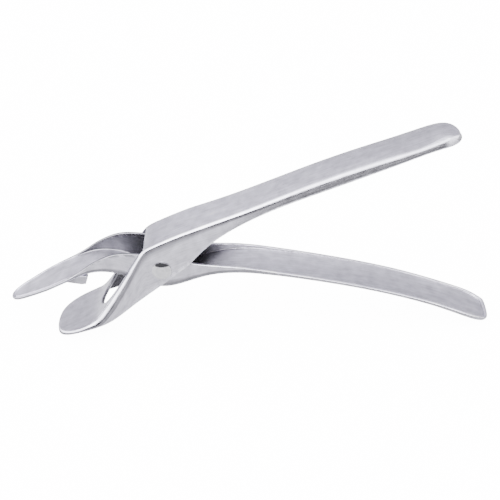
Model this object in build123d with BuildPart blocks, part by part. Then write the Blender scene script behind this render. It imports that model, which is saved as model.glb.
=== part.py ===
from build123d import *
import math
import os

# Lobster cracker: two stamped steel levers crossing at one rivet.
#
# The tool stands on the lower jaw's nose and the lower handle's end. +Z is up, X runs
# along the tool with the jaws towards -X, and Y is the pivot's direction. Profiles are
# drawn round the pivot. Every piece is then moved so that the origin lies under the
# middle of the tool, on the surface that it stands on.

os.makedirs("parts", exist_ok=True)

# ---- driving dimensions, mm -------------------------------------------------
SHEET = 1.4                  # steel sheet of both levers
FOLD = 2.2                   # outer radius of the outer lever's long folds
FOLD_INSIDE = 0.8            # radius inside the folds of both levers
OUTER_HALF = 11.0            # half width of the outer lever at the pivot
LEVER_GAP = 0.3              # air between the nested walls, each side
INNER_HALF = OUTER_HALF - SHEET - LEVER_GAP

PIN_R = 2.5                  # rivet shank
PIN_TIGHT_FIT = 0.02         # radial clearance in the outer lever, which holds the rivet
PIN_RUNNING_FIT = 0.06       # radial clearance in the pieces that turn on the rivet
HEAD_R = 3.9                 # near head, a low dome
HEAD_RISE = 1.0
TAIL_R = 3.6                 # far head, formed flatter when the rivet is closed
TAIL_RISE = 0.7
HEAD_RIM = 0.25              # straight rim under each dome
HEAD_LIFT = 0.2              # the heads stand this far off the walls
SLEEVE_R = 4.0               # spacer between the inner lever's walls
SLEEVE_END_GAP = 0.1         # air at each end of it

DEEP = 90.0                  # farther up or down than any profile reaches
WIDE = 20.0                  # wider than either lever, each side
PROFILE_STEPS = 64           # points in a profile drawn beside another
OUTLINE_STEPS = 32           # the same for each half of an outline

# Outer lever seen from the side: the web's outer face, from past the handle's end to
# past the jaw's nose.
SPINE = [
    (128.0, 50.6), (122.5, 53.7), (117.2, 54.9), (110.0, 53.5), (86.0, 45.8), (57.5, 35.4), (28.5, 23.5),
    (9.0, 16.2), (-2.5, 11.2), (-7.3, 8.3), (-10.4, 4.2), (-17.6, -6.9), (-24.2, -16.3),
    (-27.6, -20.4), (-31.4, -22.9), (-39.2, -26.4), (-52.0, -32.2),
]
# The free edge of its walls, in two runs that meet at the pointed heel.
HEEL = (11.0, 1.9)
HANDLE_EDGE = [(128.0, 49.6), (116.0, 50.9), (99.7, 46.1), (62.0, 32.2), (33.2, 19.8), (18.3, 9.5), HEEL]
JAW_EDGE = [HEEL, (-2.1, -8.3), (-13.0, -16.1), (-23.3, -22.4), (-31.0, -25.0), (-39.2, -28.3), (-52.0, -34.1)]
# Half of its outline from above, from the jaw's nose to the handle's end.
OUTER_OUTLINE = [
    (-45.6, 0.0), (-44.6, 7.2), (-41.8, 12.2), (-37.0, 15.0), (-31.0, 15.8), (-25.0, 15.1), (-17.5, 13.2),
    (-9.5, 11.5), (0.0, OUTER_HALF), (25.0, OUTER_HALF), (50.0, OUTER_HALF), (75.0, OUTER_HALF),
    (97.0, 10.7), (109.0, 10.2), (116.0, 8.0), (119.7, 4.2), (120.6, 0.0),
]

# The window in its web, along the steep stretch in front of the pivot.
WINDOW_TOP = (-7.4, 8.4)
WINDOW_FOOT = (-26.6, -19.2)
WINDOW_HALF = 9.5
WINDOW_ROUND = 9.5           # length of its rounded foot
WINDOW_CUT = 6.0             # how far the punch passes each side of the web

# Inner lever seen from the side: the floor's outer face, from past the leaf's tip to
# past the handle's end.
FLOOR = [
    (-70.0, -20.9), (-52.0, -12.1), (-41.5, -7.0), (-34.5, -4.0), (-29.6, -2.3), (-25.0, -1.8),
    (-17.0, -3.2), (-8.0, -7.2), (1.0, -9.2), (10.0, -7.2), (19.0, -4.5),
    (29.0, -3.6), (44.0, -5.1), (66.4, -9.4), (85.5, -14.0), (104.7, -20.2), (124.0, -28.1), (138.0, -34.6),
]
LEAF_RISE = 1.8              # the leaf's edge above the floor's outer face
# The rim of its walls: low along the leaf, high over the pivot, low along the handle.
RIM = [(x, z + LEAF_RISE) for x, z in FLOOR[:3]] + [
    (-37.2, -3.3), (-33.2, -0.8), (-28.6, 2.4), (-23.5, 5.1), (-19.0, 6.6), (-14.5, 6.9),
    (-8.5, 6.4), (-3.0, 6.2), (3.5, 5.4), (10.0, 2.5), (18.0, 0.9), (28.2, 0.1), (44.0, -2.4),
    (66.4, -7.0), (85.5, -11.7), (104.7, -17.7), (124.0, -25.5), (138.0, -32.0),
]
# Half of its outline from above, from the leaf's tip to the handle's end.
INNER_OUTLINE = [
    (-63.5, 0.0), (-63.0, 2.4), (-61.0, 4.7), (-56.0, 6.9), (-49.0, 8.9), (-41.0, 9.6), (-31.0, 9.4),
    (-20.0, INNER_HALF), (-5.0, INNER_HALF), (10.0, INNER_HALF), (19.0, 9.5), (30.0, 10.0), (45.0, 10.2),
    (70.0, 10.1), (95.0, 10.0), (116.0, 10.1), (124.5, 9.6), (128.4, 7.0), (129.7, 3.6), (130.0, 0.0),
]

# The claw under each side edge of the upper jaw, and the crease of its front facet.
CLAW = [
    (-38.9, -5.7), (-33.1, -6.8), (-31.3, -6.6), (-30.3, -3.6), (-31.1, -2.9),
    (-33.0, -2.9), (-34.5, -2.6), (-38.3, -4.2),
]
CLAW_OUTER = 9.2             # its outer and inner faces, from the middle plane
CLAW_INNER = 6.4
CREASE_TOP = (-35.2, -3.4)
CREASE_FOOT = (-32.6, -7.0)
FACET_LEAN = 32.0            # degrees between the facet and the wall


def beside(curve, distance, steps):
    """Points that keep a fixed distance to the left of a curve, or to its right if negative."""
    return [curve @ t + (curve % t).rotate(Axis.Z, 90) * distance for t in steps]


def side_region(points, closing_z, inset=0.0):
    """The region between a side profile and a far level, with the profile moved to its left."""
    steps = [i / PROFILE_STEPS for i in range(PROFILE_STEPS + 1)]
    with BuildSketch(Plane.XZ.offset(WIDE)) as region:
        with BuildLine():
            drawn = Spline(*points, mode=Mode.PRIVATE)
            profile = Spline(*beside(drawn, inset, steps)) if inset else Spline(*points)
            start = profile @ 0
            end = profile @ 1
            Polyline(start, (start.X, closing_z), (end.X, closing_z), end)
        make_face()
    return region.sketch


def outline_region(half_outline, inset=0.0):
    """The region inside a lever's outline from above, pulled in by the inset."""
    other_half = [(x, -y) for x, y in reversed(half_outline[1:-1])]
    crowded = [(1 - math.cos(math.pi * i / OUTLINE_STEPS)) / 4 for i in range(OUTLINE_STEPS)]
    steps = crowded + [t + 0.5 for t in crowded]
    with BuildSketch(Plane.XY.offset(-DEEP)) as region:
        with BuildLine():
            drawn = Spline(*half_outline, *other_half, periodic=True, mode=Mode.PRIVATE)
            points = beside(drawn, -inset, steps) if inset else [*half_outline, *other_half]
            Spline(*points, periodic=True)
        make_face()
    return region.sketch


def across(profile, mode=Mode.ADD):
    """A side profile carried right across the tool."""
    return extrude(profile, amount=2 * WIDE, dir=(0, 1, 0), mode=mode)


def within(outline):
    """Keeps only what lies inside an outline seen from above."""
    return extrude(outline, amount=2 * DEEP, dir=(0, 0, 1), mode=Mode.INTERSECT)


# ---- outer lever: upper handle and lower jaw --------------------------------
with BuildPart() as outer_hollow:
    across(side_region(SPINE, -DEEP, SHEET))
    within(outline_region(OUTER_OUTLINE, SHEET))
    fillet(outer_hollow.faces().sort_by(Axis.Z)[-1].edges(), radius=FOLD_INSIDE)

window_run = Vector(*WINDOW_TOP) - Vector(*WINDOW_FOOT)
window_plane = Plane(
    origin=(WINDOW_FOOT[0], 0, WINDOW_FOOT[1]),
    x_dir=(window_run.X, 0, window_run.Y),
    z_dir=(-window_run.Y, 0, window_run.X),
)

with BuildPart() as outer_lever:
    across(side_region(SPINE, -DEEP))
    within(outline_region(OUTER_OUTLINE))
    fillet(outer_lever.faces().sort_by(Axis.Z)[-1].edges(), radius=FOLD)
    add(outer_hollow.part, mode=Mode.SUBTRACT)
    with BuildSketch(Plane.XZ.offset(WIDE)) as below_walls:
        with BuildLine():
            handle_edge = Spline(*HANDLE_EDGE)
            jaw_edge = Spline(*JAW_EDGE)
            Polyline(handle_edge @ 0, (HANDLE_EDGE[0][0], -DEEP), (JAW_EDGE[-1][0], -DEEP), jaw_edge @ 1)
        make_face()
    across(below_walls.sketch, mode=Mode.SUBTRACT)
    with BuildSketch(window_plane) as window:
        with BuildLine():
            foot = EllipticalCenterArc((WINDOW_ROUND, 0), WINDOW_ROUND, WINDOW_HALF, 90, arc_size=180)
            Polyline(foot @ 1, (window_run.length, -WINDOW_HALF), (window_run.length, WINDOW_HALF), foot @ 0)
        make_face()
    extrude(window.sketch, amount=WINDOW_CUT, both=True, mode=Mode.SUBTRACT)
    with BuildSketch(Plane.XZ.offset(WIDE)) as tight_hole:
        Circle(PIN_R + PIN_TIGHT_FIT)
    across(tight_hole.sketch, mode=Mode.SUBTRACT)

# ---- inner lever: lower handle and upper jaw --------------------------------
with BuildPart() as inner_hollow:
    across(side_region(FLOOR, DEEP, SHEET))
    within(outline_region(INNER_OUTLINE, SHEET))
    fillet(inner_hollow.faces().sort_by(Axis.Z)[0].edges(), radius=FOLD_INSIDE)

with BuildPart() as claw:
    with BuildSketch(Plane.XZ.offset(CLAW_INNER)):
        with BuildLine():
            Polyline(*CLAW, close=True)
        make_face()
    extrude(amount=CLAW_OUTER - CLAW_INNER)
    crease = Vector(*CREASE_FOOT) - Vector(*CREASE_TOP)
    facet_plane = Plane(
        origin=(CREASE_TOP[0], -CLAW_OUTER, CREASE_TOP[1]),
        x_dir=(crease.X, 0, crease.Y),
        z_dir=(0, -1, 0),
    ).rotated((FACET_LEAN, 0, 0))
    split(bisect_by=facet_plane, keep=Keep.BOTTOM)

with BuildPart() as inner_lever:
    across(side_region(FLOOR, DEEP))
    within(outline_region(INNER_OUTLINE))
    add(inner_hollow.part, mode=Mode.SUBTRACT)
    across(side_region(RIM, DEEP), mode=Mode.SUBTRACT)
    add(claw.part)
    mirror(claw.part, about=Plane.XZ)
    with BuildSketch(Plane.XZ.offset(WIDE)) as running_hole:
        Circle(PIN_R + PIN_RUNNING_FIT)
    across(running_hole.sketch, mode=Mode.SUBTRACT)

# ---- pivot rivet ------------------------------------------------------------
with BuildPart() as pivot_rivet:
    with BuildSketch(Plane.XY):
        with BuildLine():
            seat = OUTER_HALF + HEAD_LIFT
            near_dome = TangentArc((0, -seat - HEAD_RISE - HEAD_RIM), (HEAD_R, -seat - HEAD_RIM), tangent=(1, 0))
            far_dome = TangentArc((0, seat + TAIL_RISE + HEAD_RIM), (TAIL_R, seat + HEAD_RIM), tangent=(1, 0))
            Polyline(near_dome @ 1, (HEAD_R, -seat), (PIN_R, -seat), (PIN_R, seat), (TAIL_R, seat), far_dome @ 1)
            Line(near_dome @ 0, far_dome @ 0)
        make_face()
    revolve(axis=Axis.Y)

# ---- spacer sleeve on the rivet, between the inner lever's walls ------------
with BuildPart() as spacer_sleeve:
    sleeve_half = INNER_HALF - SHEET - SLEEVE_END_GAP
    with BuildSketch(Plane.XZ.offset(-sleeve_half)):
        Circle(SLEEVE_R)
        Circle(PIN_R + PIN_RUNNING_FIT, mode=Mode.SUBTRACT)
    extrude(amount=2 * sleeve_half)

# ---- into the tool's own frame, and out -------------------------------------
pieces = {
    "outer_lever": outer_lever.part,
    "inner_lever": inner_lever.part,
    "pivot_rivet": pivot_rivet.part,
    "spacer_sleeve": spacer_sleeve.part,
}
boxes = [piece.bounding_box() for piece in pieces.values()]
middle_x = (min(box.min.X for box in boxes) + max(box.max.X for box in boxes)) / 2
to_origin = Pos(-middle_x, 0, -min(box.min.Z for box in boxes))
print("pivot at", to_origin.position)
for name, piece in pieces.items():
    placed = to_origin * piece
    placed.label = name
    export_step(placed, f"parts/{name}.step")
    print(name, round(placed.volume), "mm3", placed.is_valid, len(placed.solids()))
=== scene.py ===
"""A lobster cracker: two stamped steel levers that cross and turn on one rivet."""
import math

import bmesh
import bpy
import numpy as np
from mathutils import Matrix, Vector


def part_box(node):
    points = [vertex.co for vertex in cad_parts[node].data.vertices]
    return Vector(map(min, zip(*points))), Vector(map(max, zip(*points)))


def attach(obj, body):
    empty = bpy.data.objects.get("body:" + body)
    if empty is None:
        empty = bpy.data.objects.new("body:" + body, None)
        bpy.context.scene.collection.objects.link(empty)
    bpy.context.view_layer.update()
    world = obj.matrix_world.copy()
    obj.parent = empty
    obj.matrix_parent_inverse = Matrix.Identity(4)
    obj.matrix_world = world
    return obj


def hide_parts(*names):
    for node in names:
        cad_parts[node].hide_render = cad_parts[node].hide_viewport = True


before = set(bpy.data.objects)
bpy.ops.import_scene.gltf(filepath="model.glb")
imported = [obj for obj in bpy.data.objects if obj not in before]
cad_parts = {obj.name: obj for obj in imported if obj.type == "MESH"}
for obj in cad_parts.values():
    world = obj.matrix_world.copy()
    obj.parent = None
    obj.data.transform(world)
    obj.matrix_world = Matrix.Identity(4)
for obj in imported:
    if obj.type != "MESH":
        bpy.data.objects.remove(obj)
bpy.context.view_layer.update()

# ---- camera ------------------------------------------------------------------
# A long lens from a good way off, a third of a right angle above the table and
# just off square to the tool's side, tipped a few degrees anticlockwise.
SIDE_TURN = math.radians(4.0)
LOOK_DOWN = math.radians(30.0)
TIP = math.radians(3.43)
CAMERA_DISTANCE = 0.900
AIM = Vector((0.00167, 0.00274, 0.03168))

rightward = Vector((math.cos(SIDE_TURN), math.sin(SIDE_TURN), 0))
backward = Vector((math.sin(SIDE_TURN) * math.cos(LOOK_DOWN), -math.cos(SIDE_TURN) * math.cos(LOOK_DOWN),
                   math.sin(LOOK_DOWN)))
upward = backward.cross(rightward)
camera = bpy.data.objects.new("camera", bpy.data.cameras.new("camera"))
camera.data.lens = 160.06
camera.data.sensor_width = 36.0
camera.data.clip_start = 0.05
turned = Matrix((
    math.cos(TIP) * rightward - math.sin(TIP) * upward,
    math.sin(TIP) * rightward + math.cos(TIP) * upward,
    backward,
)).transposed()
camera.matrix_world = Matrix.Translation(AIM + CAMERA_DISTANCE * backward) @ turned.to_4x4()
bpy.context.scene.collection.objects.link(camera)
bpy.context.scene.camera = camera

# ---- sheet steel -------------------------------------------------------------
# Both levers are blanked from stainless sheet, pressed to shape and belt-finished
# along their length; the folds are buffed brighter than the flats between them,
# and on top of that their colour is painted lighter, a painted highlight. Walls,
# inner faces and the band under each fold get painted shade in their colour.


def steel(name, colour, dull, bright, grain=(0.065, 1.7), streak=0.055, dent=0.22):
    """Satin steel: grain along the piece from its 'grain' attribute, brighter where 'buffed' is high; its
    base colour is multiplied by a vertex attribute of painted light and shade.
    """
    made = bpy.data.materials.new(name)
    made.use_nodes = True
    nodes, links = made.node_tree.nodes, made.node_tree.links
    shader = nodes["Principled BSDF"]
    shader.inputs["Metallic"].default_value = 1.0
    shader.inputs["Base Color"].default_value = (*colour, 1)
    along = nodes.new("ShaderNodeAttribute")
    along.attribute_name = "grain"
    buffed = nodes.new("ShaderNodeAttribute")
    buffed.attribute_name = "buffed"
    stretch = nodes.new("ShaderNodeVectorMath")
    stretch.operation = "MULTIPLY"
    stretch.inputs[1].default_value = (grain[0], grain[1], 1)
    links.new(along.outputs["Vector"], stretch.inputs[0])
    lines = nodes.new("ShaderNodeTexNoise")
    lines.inputs["Scale"].default_value = 1.0
    lines.inputs["Detail"].default_value = 6.0
    lines.inputs["Roughness"].default_value = 0.65
    links.new(stretch.outputs[0], lines.inputs["Vector"])
    cloud = nodes.new("ShaderNodeTexNoise")
    cloud.inputs["Scale"].default_value = 0.24
    cloud.inputs["Detail"].default_value = 8.0
    links.new(along.outputs["Vector"], cloud.inputs["Vector"])

    dullness = nodes.new("ShaderNodeMapRange")
    dullness.inputs["To Min"].default_value = dull
    dullness.inputs["To Max"].default_value = bright
    links.new(buffed.outputs["Fac"], dullness.inputs["Value"])
    lined = nodes.new("ShaderNodeMath")
    lined.operation = "MULTIPLY_ADD"
    lined.inputs[1].default_value = 2 * streak
    links.new(lines.outputs["Fac"], lined.inputs[0])
    links.new(dullness.outputs["Result"], lined.inputs[2])
    clouded = nodes.new("ShaderNodeMath")
    clouded.operation = "MULTIPLY_ADD"
    clouded.inputs[1].default_value = streak
    links.new(cloud.outputs["Fac"], clouded.inputs[0])
    links.new(lined.outputs[0], clouded.inputs[2])
    links.new(clouded.outputs[0], shader.inputs["Roughness"])

    # Painted light and shade: the base colour is multiplied by a vertex attribute that holds painted
    # highlights and painted shade.
    painted_light = nodes.new("ShaderNodeAttribute")
    painted_light.attribute_name = "painted_light"
    tint = nodes.new("ShaderNodeMix")
    tint.data_type = "RGBA"
    tint.inputs["A"].default_value = (*(c * 0.72 for c in colour), 1)
    tint.inputs["B"].default_value = (*(min(1, c * 1.18) for c in colour), 1)
    mixed = nodes.new("ShaderNodeMath")
    mixed.operation = "ADD"
    links.new(lines.outputs["Fac"], mixed.inputs[0])
    links.new(cloud.outputs["Fac"], mixed.inputs[1])
    spread = nodes.new("ShaderNodeMapRange")
    spread.inputs["From Min"].default_value = 0.7
    spread.inputs["From Max"].default_value = 1.3
    links.new(mixed.outputs[0], spread.inputs["Value"])
    links.new(spread.outputs["Result"], tint.inputs["Factor"])
    # Multiplies the grained colour by the painted light and shade.
    painted_shading = nodes.new("ShaderNodeMix")
    painted_shading.data_type = "RGBA"
    painted_shading.blend_type = "MULTIPLY"
    painted_shading.inputs["Factor"].default_value = 1.0
    links.new(tint.outputs["Result"], painted_shading.inputs["A"])
    links.new(painted_light.outputs["Fac"], painted_shading.inputs["B"])
    links.new(painted_shading.outputs["Result"], shader.inputs["Base Color"])

    bump = nodes.new("ShaderNodeBump")
    bump.inputs["Strength"].default_value = dent
    bump.inputs["Distance"].default_value = 0.0004
    links.new(lines.outputs["Fac"], bump.inputs["Height"])
    links.new(bump.outputs["Normal"], shader.inputs["Normal"])
    return made


satin = steel("satin_sheet", (0.635, 0.622, 0.690), 0.25, 0.03)

# ---- outer lever: upper handle and lower jaw ----------------------------------
# One blank folded to an inverted channel: the web is the top of the handle and
# runs down through the crossing into the lower jaw, with a window for the other lever.
MM = 0.001
rivet_low, rivet_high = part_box("pivot_rivet")
PIVOT_X = (rivet_low.x + rivet_high.x) / 2 / MM
PIVOT_Z = (rivet_low.z + rivet_high.z) / 2 / MM
SHEET = 1.4
EDGE_ROUND = 0.35
OUTER_HALF = 11.0
SPINE = [
    (128.0, 46.0), (121.0, 52.4), (117.2, 54.4), (112.0, 54.3), (106.0, 52.4), (86.0, 45.8), (57.5, 35.4),
    (28.5, 23.5), (9.0, 16.2), (-2.5, 11.2), (-7.3, 8.3), (-10.4, 4.2), (-17.6, -6.9), (-24.2, -16.3),
    (-27.6, -20.4), (-31.4, -22.9), (-39.2, -26.4), (-52.0, -32.2),
]
HEEL = (11.0, 1.9)
HANDLE_EDGE = [
    (128.0, 51.6), (120.6, 50.6), (114.0, 50.3), (99.7, 46.1), (62.0, 32.2), (33.2, 19.8), (18.3, 9.5), HEEL,
]
JAW_EDGE = [
    HEEL, (-2.1, -8.3), (-13.0, -16.1), (-23.3, -22.4), (-31.0, -24.8), (-39.2, -27.9), (-52.0, -33.7),
]
OUTER_OUTLINE = [
    (-45.6, 0.0), (-45.1, 5.6), (-43.5, 9.8), (-40.4, 12.8), (-36.0, 14.7), (-31.0, 15.4), (-25.0, 15.0),
    (-17.5, 13.2), (-9.5, 11.5), (0.0, OUTER_HALF), (25.0, OUTER_HALF), (50.0, OUTER_HALF),
    (75.0, OUTER_HALF), (97.0, 10.7), (109.0, 10.2), (116.0, 8.0), (119.7, 4.2), (120.6, 0.0),
]
OUTER_SHAPE = {
    "fold": [(-46.0, 1.0), (-40.0, 1.5), (-32.0, 2.6), (-22.0, 2.8), (-14.0, 2.0), (-9.0, 1.4), (-4.0, 1.4),
             (3.0, 1.5), (30.0, 1.9), (60.0, 2.6), (100.0, 2.8), (121.0, 3.2)],
    "crown": [(10.0, 0.0), (50.0, 0.6), (90.0, 1.0), (121.0, 1.2)],
    "flare": [(12.0, 0.0), (30.0, 8.0), (50.0, 17.0), (80.0, 20.0), (121.0, 20.0)],
}
OUTER_SKEWS = [(-26.0, -46.0, -0.02)]
WINDOW_TOP = (-7.4, 8.4)
WINDOW_FOOT = (-26.7, -19.3)
WINDOW_TAPER = 13.0
WINDOW_HALF = 9.5
WINDOW_LEAN = (WINDOW_TOP[0] - WINDOW_FOOT[0]) / math.dist(WINDOW_TOP, WINDOW_FOOT)


def smooth_line(points, per_gap=24):
    """Points along the natural cubic spline through the given points."""
    p = np.array(points, float)
    knots = np.concatenate([[0], np.cumsum(np.linalg.norm(np.diff(p, axis=0), axis=1))])
    gaps = np.diff(knots)
    count = len(p)
    system = np.eye(count)
    pull = np.zeros((count, 2))
    for i in range(1, count - 1):
        system[i, i - 1:i + 2] = gaps[i - 1], 2 * (gaps[i - 1] + gaps[i]), gaps[i]
        pull[i] = 6 * ((p[i + 1] - p[i]) / gaps[i] - (p[i] - p[i - 1]) / gaps[i - 1])
    bend = np.linalg.solve(system, pull)
    line = []
    for i in range(count - 1):
        last = i == count - 2
        t = np.linspace(0, 1, per_gap + 1)[: None if last else -1, None]
        a, b = 1 - t, t
        curved = (a ** 3 - a) * bend[i] + (b ** 3 - b) * bend[i + 1]
        line.append(a * p[i] + b * p[i + 1] + gaps[i] ** 2 / 6 * curved)
    return np.concatenate(line)


def height_along(points):
    """A profile as a height for any place along the tool."""
    line = smooth_line(points)
    line = line[np.argsort(line[:, 0])]
    return lambda x: np.interp(x, line[:, 0], line[:, 1])


def half_outline(points, wrap=4, per_gap=40):
    """One side of an outline, smooth right round both of its ends, with its outward directions."""
    mirrored = [(x, -y) for x, y in points]
    ring = mirrored[wrap:0:-1] + points + mirrored[-2:-2 - wrap:-1]
    line = smooth_line(ring, per_gap)
    side = slice(wrap * per_gap, len(line) - wrap * per_gap)
    run = np.gradient(line, axis=0)[side]
    run /= np.linalg.norm(run, axis=1)[:, None]
    line = line[side]
    line[0, 1] = line[-1, 1] = 0
    outward = np.stack([-run[:, 1], run[:, 0]], 1)
    outward[0] = (-1, 0)
    outward[-1] = (1, 0)
    return line, outward


WALL_ROWS = 6
FOLD_ROWS = 10
WEB_ROWS = 8
CROWN_AT = 10.0
FOLD_SHARE = 0.8
TIGHTEST_FOLD = 0.12


def skin(place, outward, web, edge, shape, side, inset):
    """One face of the folded sheet: rows along the outline, columns from the wall's edge over the fold."""
    x, y = place[:, 0], place[:, 1]
    step = 0.05
    fold, crown, flare = (np.interp(x, *zip(*shape[part])) for part in ("fold", "crown", "flare"))
    rise = crown / CROWN_AT ** 2
    flare = np.radians(flare)
    slope = (web(x + step) - web(x - step)) / (2 * step)
    level = web(x) - side * rise * y ** 2
    top = np.stack([-slope, 2 * side * rise * y, 1 + 0 * x], 1)
    top *= side / np.linalg.norm(top, axis=1)[:, None]
    level_out = np.stack([outward[:, 0], outward[:, 1], 0 * x], 1)
    wall = level_out * np.cos(flare)[:, None]
    wall[:, 2] = side * np.sin(flare)
    square = 1 + np.sum(top * wall, axis=1)[:, None]
    reach = (level - edge(x)) * side
    radius = np.maximum(np.minimum(fold, FOLD_SHARE * reach) - inset, TIGHTEST_FOLD)[:, None]
    corner = np.stack([x, y, level], 1) - (reach * np.tan(flare))[:, None] * level_out
    corner -= inset * (top + wall) / square
    middle = corner - radius / square * (top + wall)
    wall_top = middle + radius * wall
    foot = np.stack([x, y, 0 * x], 1) - inset * level_out
    foot[:, 2] = edge(x)
    columns = [foot + (wall_top - foot) * (i / WALL_ROWS) for i in range(WALL_ROWS)]
    opening = np.arccos(np.clip(square - 1, -1, 1))
    for i in range(FOLD_ROWS + 1):
        t = i / FOLD_ROWS
        columns.append(middle + radius * (np.sin((1 - t) * opening) * wall + np.sin(t * opening) * top)
                       / np.sin(opening))
    grid = np.stack(columns, 1)
    grid[:, :, 1] = np.maximum(grid[:, :, 1], 0)
    return grid


BEAD_ROWS = 3


def bead(outer, inner, away, size):
    """The rounded cut edge between two faces of the sheet, from the outer face round to the inner one."""
    through = outer - inner
    through /= np.linalg.norm(through, axis=1)[:, None]
    size = np.asarray(size)[:, None]
    points = []
    for i in range(BEAD_ROWS + 1):
        a = math.pi / 2 * i / BEAD_ROWS
        points.append(outer - size * (through + away) + size * (math.cos(a) * through + math.sin(a) * away))
    for i in range(BEAD_ROWS, -1, -1):
        a = math.pi / 2 * i / BEAD_ROWS
        points.append(inner + size * (through - away) + size * (-math.cos(a) * through + math.sin(a) * away))
    return np.stack(points, 1)


STATIONS = 260
CROWDING = 0.96
SHORTEST_STEP = 0.004


def stations_round(line, outward, web_x, windowed):
    """Places along one side of the outline, crowded towards both ends and round the window's foot."""
    run = np.concatenate([[0], np.cumsum(np.linalg.norm(np.diff(line, axis=0), axis=1))])
    t = np.linspace(0, 1, STATIONS)
    stations = list(run[-1] * (t - CROWDING * np.sin(2 * np.pi * t) / (2 * np.pi)))
    stations.append(np.interp(HEEL[0], line[:, 0], run))
    if windowed:
        tapering = WINDOW_TAPER * WINDOW_LEAN
        marks = [WINDOW_FOOT[0] + tapering * (1 - math.cos(math.radians(a))) for a in range(0, 91, 6)]
        stations += [np.interp(x, web_x, run) for x in marks + [WINDOW_TOP[0]]]
    stations = np.unique(np.round(stations, 4))
    stations = stations[np.concatenate([[True], np.diff(stations) > SHORTEST_STEP])]
    place = np.stack([np.interp(stations, run, line[:, k]) for k in (0, 1)], 1)
    facing = np.stack([np.interp(stations, run, outward[:, k]) for k in (0, 1)], 1)
    return place, facing / np.linalg.norm(facing, axis=1)[:, None]


def window_opening(row_x):
    """Half the window's width at each row, with the rows of its foot and its top."""
    foot_row, top_row = (int(np.argmin(np.abs(row_x - end[0]))) for end in (WINDOW_FOOT, WINDOW_TOP))
    reach = np.clip((row_x - WINDOW_FOOT[0]) / WINDOW_LEAN / WINDOW_TAPER, 0, 1)
    opening = WINDOW_HALF * np.sqrt(1 - (1 - reach) ** 2)
    opening[top_row:] = 0
    return opening, foot_row, top_row


def carry_web(grid, side, rise, opening, top_row):
    """One face carried on from its fold to the window or the middle line, and the strip above the window."""
    start = grid[:, -1]
    stop_y = opening.copy()
    if top_row < len(start):
        stop_y[top_row:] = start[top_row:, 1] * WINDOW_HALF / start[top_row, 1]
    stop_y = np.minimum(stop_y, start[:, 1])
    main, strip = [grid[:, j] for j in range(grid.shape[1])], []
    for share in np.linspace(0, 1, WEB_ROWS + 1)[1:]:
        to_stop = start[:, 1] + (stop_y - start[:, 1]) * share
        to_middle = stop_y * (1 - share)
        for columns, y in ((main, to_stop), (strip, to_middle)):
            moved = start.copy()
            moved[:, 1] = y
            moved[:, 2] += side * rise * (start[:, 1] ** 2 - y ** 2)
            columns.append(moved)
    return [np.stack(main, 1), np.stack([main[-1]] + strip, 1)]


def window_beads(faces, foot_row, top_row):
    """The window's rounded cut edge, up its side and along its top; both faces are drawn back to meet it."""
    cut = slice(foot_row, top_row + 1)
    rim = faces[0][0][cut, -1]
    along = np.gradient(rim, axis=0)
    along[0], along[-1] = (0, 1, 0), rim[-1] - rim[-2]
    along /= np.linalg.norm(along, axis=1)[:, None]
    lie = rim[-1] - rim[-4]
    lie = np.array([lie[0], 0, lie[2]]) / math.hypot(lie[0], lie[2])
    across = np.array([0, 1.0, 0])
    away = (along @ across)[:, None] * lie - (along @ lie)[:, None] * across
    away[-1] = -lie - across
    side_bead = bead(rim, faces[1][0][cut, -1], away, np.full(len(rim), EDGE_ROUND))
    top_away = np.tile(-lie, (WEB_ROWS + 1, 1))
    top_away[0] = away[-1]
    size = np.full(WEB_ROWS + 1, EDGE_ROUND)
    top_bead = bead(faces[0][1][top_row], faces[1][1][top_row], top_away, size)
    for which, end in ((0, 0), (1, -1)):
        faces[which][0][cut, -1] = side_bead[:, end]
        faces[which][1][top_row] = top_bead[:, end]
    return side_bead, top_bead


OUTER_FACE, INNER_FACE, CUT_FACE = 0, 1, 2
# Painted shade: how much the lower part of each fold, just above the wall, is darkened.
FOLD_SHADE = 0.65
CUT_SHINE = 0.7
MEETING = 0.02
SAME_POINT = 0.0004
SLIVER = 0.0002
KNOT = 0.03


def channel_finish():
    """For each column of a face: how bright it is buffed (lower roughness, and a painted highlight), how
    much it counts as wall, eased off up the wall, and its painted shade.
    """
    finish = [(0.5, 1.0, 0.0)] + [(0.0, 1 - 0.35 * i / WALL_ROWS, 0.0) for i in range(1, WALL_ROWS)]
    for i in range(FOLD_ROWS + 1):
        t = i / FOLD_ROWS
        finish.append((math.sin(math.pi * t) ** 0.6, 0.65 * math.cos(math.pi / 2 * t),
                       FOLD_SHADE * (1 - smooth_step(t, 0.25, 0.45))))
    return finish + [(0.0, 0.0, 0.0)] * WEB_ROWS


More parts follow.
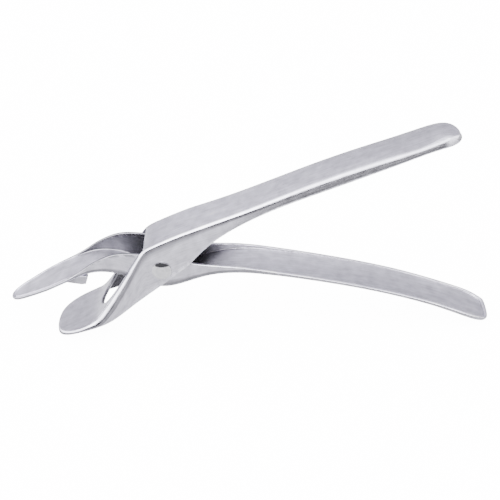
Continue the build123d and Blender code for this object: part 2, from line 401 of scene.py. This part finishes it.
def folded_lever(name, outline, web, edge, shape, side, skews, painted_light, windowed=False):
    """The folded sheet with both its faces and its cut edges, one half and then its mirror image."""
    line, outward = half_outline(outline)
    web_x = skin(line, outward, web, edge, shape, side, 0)[:, -1, 0]
    place, facing = stations_round(line, outward, web_x, windowed)
    skins = [skin(place, facing, web, edge, shape, side, inset) for inset in (0, SHEET)]
    row_x = skins[0][:, -1, 0]
    rows = len(row_x)
    opening, foot_row, top_row = window_opening(row_x) if windowed else (np.zeros(rows), rows, rows)
    rise = np.interp(row_x, *zip(*shape["crown"])) / CROWN_AT ** 2
    faces = [carry_web(grid, side, rise, opening, top_row) for grid in skins]
    walls = np.linalg.norm(skins[1][:, WALL_ROWS] - skins[1][:, 0], axis=1)
    size = np.minimum(EDGE_ROUND, np.maximum(0.45 * walls, 0.05))
    down = np.tile([0, 0, -float(side)], (rows, 1))
    foot_bead = bead(faces[0][0][:, 0], faces[1][0][:, 0], down, size)
    faces[0][0][:, 0], faces[1][0][:, 0] = foot_bead[:, 0], foot_bead[:, -1]

    finish = channel_finish()
    cut_finish = [(CUT_SHINE, 0.0, 0.0)] * foot_bead.shape[1]
    beads = [(foot_bead, cut_finish, CUT_FACE, False)]
    if windowed:
        side_bead, top_bead = window_beads(faces, foot_row, top_row)
        beads += [(side_bead, cut_finish, INNER_FACE, True), (top_bead, cut_finish, OUTER_FACE, True)]
    nets = []
    for which, (main, strip) in enumerate(faces):
        nets.append((main, finish, which, which == OUTER_FACE))
        if windowed:
            nets.append((strip[top_row:], finish[-WEB_ROWS - 1:], which, which == OUTER_FACE))

    bm = bmesh.new()
    # 'buffed' sets the roughness; the other layer holds the painted light and shade for the base colour.
    layers = [bm.verts.layers.float.new(n) for n in ("buffed", "painted_light")]
    layers.append(bm.verts.layers.float_vector.new("grain"))
    lengths = np.cumsum(np.concatenate([[0], np.hypot(np.diff(row_x), np.diff(web(row_x)))]))
    for hand in (1, -1):
        for points, columns, face, flip in nets + beads:
            add_net(bm, layers, points, columns, face, flip == (hand * side > 0), hand, side, skews, painted_light,
                    lambda x: np.interp(x, row_x, lengths))
    bmesh.ops.remove_doubles(bm, verts=bm.verts, dist=SAME_POINT * MM)
    bmesh.ops.dissolve_degenerate(bm, edges=bm.edges, dist=SLIVER * MM)
    bmesh.ops.delete(bm, geom=[v for v in bm.verts if not v.link_faces], context="VERTS")
    for _ in range(3):
        tangled = {v for e in bm.edges if not e.is_manifold for v in e.verts}
        bmesh.ops.remove_doubles(bm, verts=list(tangled), dist=KNOT * MM)
    bmesh.ops.recalc_face_normals(bm, faces=bm.faces)
    mesh = bpy.data.meshes.new(name)
    bm.to_mesh(mesh)
    bm.free()
    mesh.shade_smooth()
    lever = bpy.data.objects.new(name, mesh)
    bpy.context.scene.collection.objects.link(lever)
    mesh.materials.append(satin)
    return lever


INNER_GRAIN = 37.0
# Painted highlight: how much polish also lightens the colour, on folds, cut edges and the buffed end of the
# handle.
POLISH_PAINTED_HIGHLIGHT = 0.35
PRESSED_SHINE = 0.25
BUFFED_END = (110.0, 119.0)
END_SHINE = 0.8
# The painted shade under the folds fades out between these two places along the handle.
SHADE_FADES = (25.0, 70.0)


def add_net(bm, layers, points, finish, face, forward, hand, side, skews, painted_light, length_at):
    """Adds a net of points as quads, with its finish and its painted light and shade; what has closed up on
    the middle line is left out.
    """
    points = points.copy()
    points[:, :, 1][np.abs(points[:, :, 1]) < MEETING] = 0
    steps = np.linalg.norm(np.diff(points[:, ::-1], axis=1), axis=2)
    girth = np.concatenate([np.cumsum(steps, axis=1)[:, ::-1], np.zeros((len(points), 1))], 1)
    girth += points[:, -1:, 1]
    buffed, painted_shading, grain = layers
    net = []
    for r in range(len(points)):
        row = []
        for c, (shine, walling, shade) in enumerate(finish):
            x, y, z = points[r, c]
            lean_x = sum(k * smooth_step(x, a, b) for a, b, k in skews) * hand * y
            # polish sets the roughness through 'buffed' and also lightens the colour as a painted highlight;
            # shade darkens it as painted shade under the folds, and the lever's own function paints light
            # and shade by place.
            polish = max(shine, END_SHINE * smooth_step(x, *BUFFED_END) * (side > 0))
            polish *= PRESSED_SHINE if face == INNER_FACE else 1
            shade *= (face == OUTER_FACE) * (1 - smooth_step(x, *SHADE_FADES))
            v = bm.verts.new(place_in_frame(x + lean_x, hand * y, z))
            v[buffed] = polish
            v[painted_shading] = float(painted_light(x, face, walling)) * (1 + POLISH_PAINTED_HIGHLIGHT * polish) * (1 - shade)
            v[grain] = (length_at(x), hand * girth[r, c], INNER_GRAIN * face)
            row.append(v)
        net.append(row)
    for r, (a, b) in enumerate(zip(net, net[1:])):
        for c in range(points.shape[1] - 1):
            if np.any(points[r:r + 2, c:c + 2, 1]):
                corners = [a[c], a[c + 1], b[c + 1], b[c]]
                bm.faces.new(corners if forward else corners[::-1])


def smooth_step(x, low, high):
    """From 0 at low to 1 at high, level at both."""
    t = min(max((x - low) / (high - low), 0), 1)
    return t * t * (3 - 2 * t)


def place_in_frame(x, y, z):
    """A point measured from the rivet's middle, in millimetres, put into the tool's frame."""
    return Vector((x + PIVOT_X, y, z + PIVOT_Z)) * MM


def outer_painted_light(x, face, walling):
    """Painted light and shade on the outer lever: the inner face is painted dark as shade; the top is
    painted lighter over the rivet and along the start of the handle, then darker towards the handle's end,
    and the walls are painted darker towards the handle's end.
    """
    if face == INNER_FACE:
        return 0.4
    top = 1 + 0.35 * smooth_step(x, -8, 6) - 0.42 * smooth_step(x, 20, 110)
    return top * (1 - walling) + (0.92 - 0.74 * smooth_step(x, 20, 65)) * walling


handle_edge = height_along(HANDLE_EDGE)
jaw_edge = height_along(JAW_EDGE)
outer_lever = folded_lever(
    "upper_handle_lever", OUTER_OUTLINE, height_along(SPINE),
    lambda x: np.where(x > HEEL[0], handle_edge(x), jaw_edge(x)),
    OUTER_SHAPE, 1, OUTER_SKEWS, outer_painted_light, windowed=True,
)
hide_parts("outer_lever")
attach(outer_lever, "upper_handle_lever")

# ---- inner lever: lower handle and upper jaw ----------------------------------
# A second blank folded the other way up, narrow enough to turn between the walls
# of the first; ahead of the rivet it flattens out into a long pointed leaf.
INNER_HALF = 9.3
FLOOR = [
    (-70.0, -20.9), (-52.0, -12.1), (-41.5, -7.0), (-34.5, -4.0), (-29.6, -2.3), (-25.0, -1.8),
    (-17.0, -3.2), (-8.0, -7.2), (1.0, -9.2), (10.0, -7.2), (19.0, -4.5), (29.0, -3.6),
    (44.0, -5.1), (66.4, -9.4), (85.5, -14.0), (104.7, -20.2), (124.0, -28.1), (138.0, -34.6),
]
LEAF_RISE = 1.5
RIM = [(x, z + LEAF_RISE) for x, z in FLOOR[:3]] + [
    (-37.2, -3.3), (-33.2, -0.8), (-28.6, 2.4), (-23.5, 5.1), (-19.0, 6.6), (-14.5, 6.9), (-8.5, 6.4),
    (-3.0, 6.2), (3.5, 5.4), (10.0, 2.5), (18.0, 0.9), (28.2, 0.1), (44.0, -2.4), (66.4, -7.0),
    (85.5, -11.7), (104.7, -17.7), (124.0, -25.5), (138.0, -32.0)]
INNER_OUTLINE = [(-63.5, 0.0), (-63.0, 2.4), (-61.0, 4.7), (-56.0, 6.9), (-49.0, 8.9), (-41.0, 9.6),
                 (-31.0, 9.4), (-20.0, INNER_HALF), (-5.0, INNER_HALF), (10.0, INNER_HALF), (19.0, 9.5),
                 (30.0, 10.0), (45.0, 10.2), (70.0, 10.1), (95.0, 10.0), (118.0, 10.1), (125.6, 9.7),
                 (128.9, 7.4), (129.7, 3.8), (129.8, 0.0)]
INNER_SHAPE = {
    "fold": [(-64.0, 0.9), (-45.0, 1.0), (-30.0, 1.8), (-10.0, 1.8), (20.0, 2.0), (60.0, 2.4), (130.0, 2.4)],
    "crown": [(20.0, 0.0), (50.0, 0.8), (110.0, 1.0), (126.0, 0.4)],
    "flare": [(-64.0, 0.0), (130.0, 0.0)],
}
INNER_SKEWS = [(112.0, 130.0, -0.10)]


def inner_painted_light(x, face, walling):
    """Painted shade on the inner lever: its trough and cut edges are painted dark where they run in between
    the other lever's walls and lighter towards both ends, the upright walls of the jaw and of the trough are
    painted darker, and the outer walls darker towards the handle's end.
    """
    if face == CUT_FACE:
        return 0.35 + 0.85 * smooth_step(x, 5, 25) + 0.6 * smooth_step(-x, 30, 40)
    if face == OUTER_FACE:
        return 0.93 - 0.45 * walling * smooth_step(x, 25, 60)
    if x < 0:
        upright = smooth_step(walling, 0.1, 0.7) * (1 - smooth_step(-x, 33, 42))
        return 0.4 + (0.85 * (1 - upright) - 0.27 * upright) * smooth_step(-x, 14, 29)
    return (0.40 + 0.68 * smooth_step(x, 12, 34) - 0.18 * smooth_step(x, 40, 80)) * (1 - 0.35 * walling)


inner_lever = folded_lever(
    "lower_handle_lever", INNER_OUTLINE, height_along(FLOOR), height_along(RIM),
    INNER_SHAPE, -1, INNER_SKEWS, inner_painted_light,
)
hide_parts("inner_lever")
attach(inner_lever, "lower_handle_lever")

# ---- claws under the leaf -----------------------------------------------------
# A small pointed tab is pressed down from each side of the leaf just ahead of the
# crossing, to bite into shell; each is ground to a slope on its outer face, which is
# not drawn here: each claw is a flat-sided plate with rounded edges.
CLAW = [
    (-38.9, -5.7), (-33.1, -6.8), (-31.3, -6.6), (-30.3, -3.6), (-31.1, -2.9), (-33.0, -2.9), (-34.5, -2.6),
    (-38.3, -4.2),
]
CLAW_OUTER, CLAW_INNER = 9.2, 6.4
CLAW_ROUND = 0.25
for hand, side_name in ((-1, "right"), (1, "left")):
    bm = bmesh.new()
    grain = bm.verts.layers.float_vector.new("grain")
    painted_light = bm.verts.layers.float.new("painted_light")
    rings = []
    for y in (CLAW_INNER, CLAW_OUTER):
        rings.append([bm.verts.new(place_in_frame(x, hand * y, z)) for x, z in CLAW])
    for ring in rings:
        for v, (x, z) in zip(ring, CLAW):
            v[grain] = (z, x, 0)
            # Painted shade under the leaf: each claw is painted darker towards its front end and lighter
            # towards the rivet.
            v[painted_light] = 0.35 + 0.5 * smooth_step(x, -38, -31)
        bm.faces.new(ring)
    for i in range(len(CLAW)):
        j = (i + 1) % len(CLAW)
        bm.faces.new([rings[0][i], rings[0][j], rings[1][j], rings[1][i]])
    bmesh.ops.recalc_face_normals(bm, faces=bm.faces)
    mesh = bpy.data.meshes.new("claw_" + side_name)
    bm.to_mesh(mesh)
    bm.free()
    mesh.shade_smooth()
    mesh.materials.append(satin)
    claw = bpy.data.objects.new("claw_" + side_name, mesh)
    bpy.context.scene.collection.objects.link(claw)
    rounded = claw.modifiers.new("rounded edges", "BEVEL")
    rounded.width = CLAW_ROUND * MM
    rounded.segments = 2
    rounded.limit_method = "ANGLE"
    rounded.harden_normals = True
    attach(claw, "lower_handle_lever")

# ---- pivot rivet --------------------------------------------------------------
# A solid steel rivet through both levers: a low domed head on one side, and on the
# other the tail that was spun over, a little smaller and flatter.
SHANK = 2.5
HEAD = 3.9
TAIL = 3.6
rivet_steel = steel("rivet_steel", (0.66, 0.655, 0.67), 0.05, 0.05, grain=(1.2, 1.2),
                    streak=0.03, dent=0.04)
SHARP_CORNER = math.radians(50)


def lathe(name, profile, material, turns=64):
    """A piece turned about the rivet's axis from (radius, place along the axis) points."""
    bm = bmesh.new()
    grain = bm.verts.layers.float_vector.new("grain")
    painted_light = bm.verts.layers.float.new("painted_light")
    rings = []
    for radius, y in profile:
        ring = []
        for i in range(turns):
            a = 2 * math.pi * i / turns
            v = bm.verts.new(place_in_frame(radius * math.cos(a), y, radius * math.sin(a)))
            v[grain] = (radius, y, 0.3 * a)
            v[painted_light] = 1.0
            ring.append(v)
        rings.append(ring)
    for a, b in zip(rings, rings[1:]):
        for i in range(turns):
            j = (i + 1) % turns
            bm.faces.new([a[i], a[j], b[j], b[i]])
    for ring in (rings[0], rings[-1]):
        if profile[0] != profile[-1]:
            bm.faces.new(ring)
    bmesh.ops.remove_doubles(bm, verts=bm.verts, dist=0.0005 * MM)
    bmesh.ops.recalc_face_normals(bm, faces=bm.faces)
    mesh = bpy.data.meshes.new(name)
    bm.to_mesh(mesh)
    bm.free()
    mesh.shade_smooth()
    mesh.set_sharp_from_angle(angle=SHARP_CORNER)
    mesh.materials.append(material)
    made = bpy.data.objects.new(name, mesh)
    bpy.context.scene.collection.objects.link(made)
    return made


def dome(radius, seat, rise, rim, flat, toward, steps=10):
    """A low domed head: a short upright rim, a rounded shoulder and a crown nearly flat in its middle."""
    crown = []
    for i in range(steps + 1):
        r = radius * math.sin(math.pi / 2 * (1 - i / steps))
        crown.append((max(r, flat), toward * (seat + rim + rise * (1 - (r / radius) ** 2))))
    return crown


HEAD_RIM = 0.25
HEAD_FLAT = 0.15
HEAD_RISE = 1.0
TAIL_RISE = 0.7
near_seat = -rivet_low.y / MM - HEAD_RISE - HEAD_RIM
far_seat = rivet_high.y / MM - TAIL_RISE - HEAD_RIM
near = dome(HEAD, near_seat, HEAD_RISE, HEAD_RIM, HEAD_FLAT, -1)
far = dome(TAIL, far_seat, TAIL_RISE, HEAD_RIM, HEAD_FLAT, 1)
shank = [(HEAD, -near_seat), (SHANK, -near_seat), (SHANK, far_seat), (TAIL, far_seat)]
rivet_profile = near[::-1] + shank + far
rivet = lathe("rivet", rivet_profile, rivet_steel)
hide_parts("pivot_rivet")
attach(rivet, "upper_handle_lever")

# ---- spacer sleeve ------------------------------------------------------------
# A short turned tube on the rivet keeps the inner lever's walls apart when the
# rivet is set.
sleeve_low, sleeve_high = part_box("spacer_sleeve")
SLEEVE = (sleeve_high.x - sleeve_low.x) / 2 / MM
SLEEVE_HALF = (sleeve_high.y - sleeve_low.y) / 2 / MM
SLEEVE_BORE = 2.56
CHAMFER = 0.3
sleeve_profile = [
    (SLEEVE_BORE, -SLEEVE_HALF), (SLEEVE - CHAMFER, -SLEEVE_HALF), (SLEEVE, -SLEEVE_HALF + CHAMFER),
    (SLEEVE, SLEEVE_HALF - CHAMFER), (SLEEVE - CHAMFER, SLEEVE_HALF), (SLEEVE_BORE, SLEEVE_HALF),
    (SLEEVE_BORE, -SLEEVE_HALF),
]
turned_steel = steel("turned_steel", (0.5, 0.5, 0.51), 0.34, 0.3, grain=(1.0, 6.0))
sleeve = lathe("sleeve", sleeve_profile, turned_steel)
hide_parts("spacer_sleeve")
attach(sleeve, "lower_handle_lever")

# ---- table and light ----------------------------------------------------------
# A white table top in a pale room: a broad bright light high in front, a softer wall
# behind, windows at both sides, and the unlit end of the room in front, low down.
TABLE_REACH = 4
TABLE_DROP = 0.0002
bm = bmesh.new()
corners = [bm.verts.new((x * TABLE_REACH, y * TABLE_REACH, -TABLE_DROP))
           for x, y in ((-1, -1), (1, -1), (1, 1), (-1, 1))]
bm.faces.new(corners)
table_mesh = bpy.data.meshes.new("table")
bm.to_mesh(table_mesh)
bm.free()
table = bpy.data.objects.new("table", table_mesh)
bpy.context.scene.collection.objects.link(table)
white = bpy.data.materials.new("table_white")
white.use_nodes = True
nodes, links = white.node_tree.nodes, white.node_tree.links
tabletop = nodes["Principled BSDF"]
tabletop.inputs["Base Color"].default_value = (0.34, 0.34, 0.34, 1)
tabletop.inputs["Roughness"].default_value = 0.9
seen = nodes.new("ShaderNodeLightPath")
glow = nodes.new("ShaderNodeMath")
glow.operation = "MULTIPLY"
glow.inputs[1].default_value = 14.0
links.new(seen.outputs["Is Camera Ray"], glow.inputs[0])
tabletop.inputs["Emission Color"].default_value = (1, 1, 1, 1)
links.new(glow.outputs[0], tabletop.inputs["Emission Strength"])
table_mesh.materials.append(white)

room = bpy.data.worlds.new("room")
bpy.context.scene.world = room
room.use_nodes = True
nodes, links = room.node_tree.nodes, room.node_tree.links
sky = nodes["Background"]
direction = nodes.new("ShaderNodeTexCoord")
split = nodes.new("ShaderNodeSeparateXYZ")
links.new(direction.outputs["Generated"], split.inputs[0])


def brightness_by_height(stops):
    """A ramp of room brightness from the horizon to straight up."""
    ramp = nodes.new("ShaderNodeValToRGB")
    ramp.color_ramp.elements[0].position = stops[0][0]
    ramp.color_ramp.elements[0].color = (*stops[0][1], 1)
    ramp.color_ramp.elements[1].position = stops[-1][0]
    ramp.color_ramp.elements[1].color = (*stops[-1][1], 1)
    for height, colour in stops[1:-1]:
        ramp.color_ramp.elements.new(height).color = (*colour, 1)
    links.new(split.outputs["Z"], ramp.inputs["Fac"])
    return ramp


CEILING = (0.30, 0.30, 0.32)
HIGH_LIGHT = (0.9, 0.9, 0.92)
front = brightness_by_height([
    (0.0, (0.010, 0.010, 0.011)), (0.45, (0.012, 0.012, 0.013)), (0.56, HIGH_LIGHT), (0.85, HIGH_LIGHT),
    (1.0, CEILING),
])
back = brightness_by_height([
    (0.0, (0.075, 0.074, 0.082)), (0.3, (0.080, 0.079, 0.089)), (0.62, (0.100, 0.098, 0.109)),
    (1.0, CEILING),
])
facing = nodes.new("ShaderNodeMapRange")
facing.inputs["From Min"].default_value = -0.35
facing.inputs["From Max"].default_value = 0.25
links.new(split.outputs["Y"], facing.inputs["Value"])
walls = nodes.new("ShaderNodeMix")
walls.data_type = "RGBA"
links.new(facing.outputs["Result"], walls.inputs["Factor"])
links.new(front.outputs["Color"], walls.inputs["A"])
links.new(back.outputs["Color"], walls.inputs["B"])
sideways = nodes.new("ShaderNodeMath")
sideways.operation = "ABSOLUTE"
links.new(split.outputs["X"], sideways.inputs[0])
beside = nodes.new("ShaderNodeMapRange")
beside.inputs["From Min"].default_value = 0.62
beside.inputs["From Max"].default_value = 0.80
links.new(sideways.outputs[0], beside.inputs["Value"])
windows = nodes.new("ShaderNodeMix")
windows.data_type = "RGBA"
windows.inputs["B"].default_value = (0.54, 0.54, 0.55, 1)
links.new(beside.outputs["Result"], windows.inputs["Factor"])
links.new(walls.outputs["Result"], windows.inputs["A"])
links.new(windows.outputs["Result"], sky.inputs["Color"])
sky.inputs["Strength"].default_value = 12.0
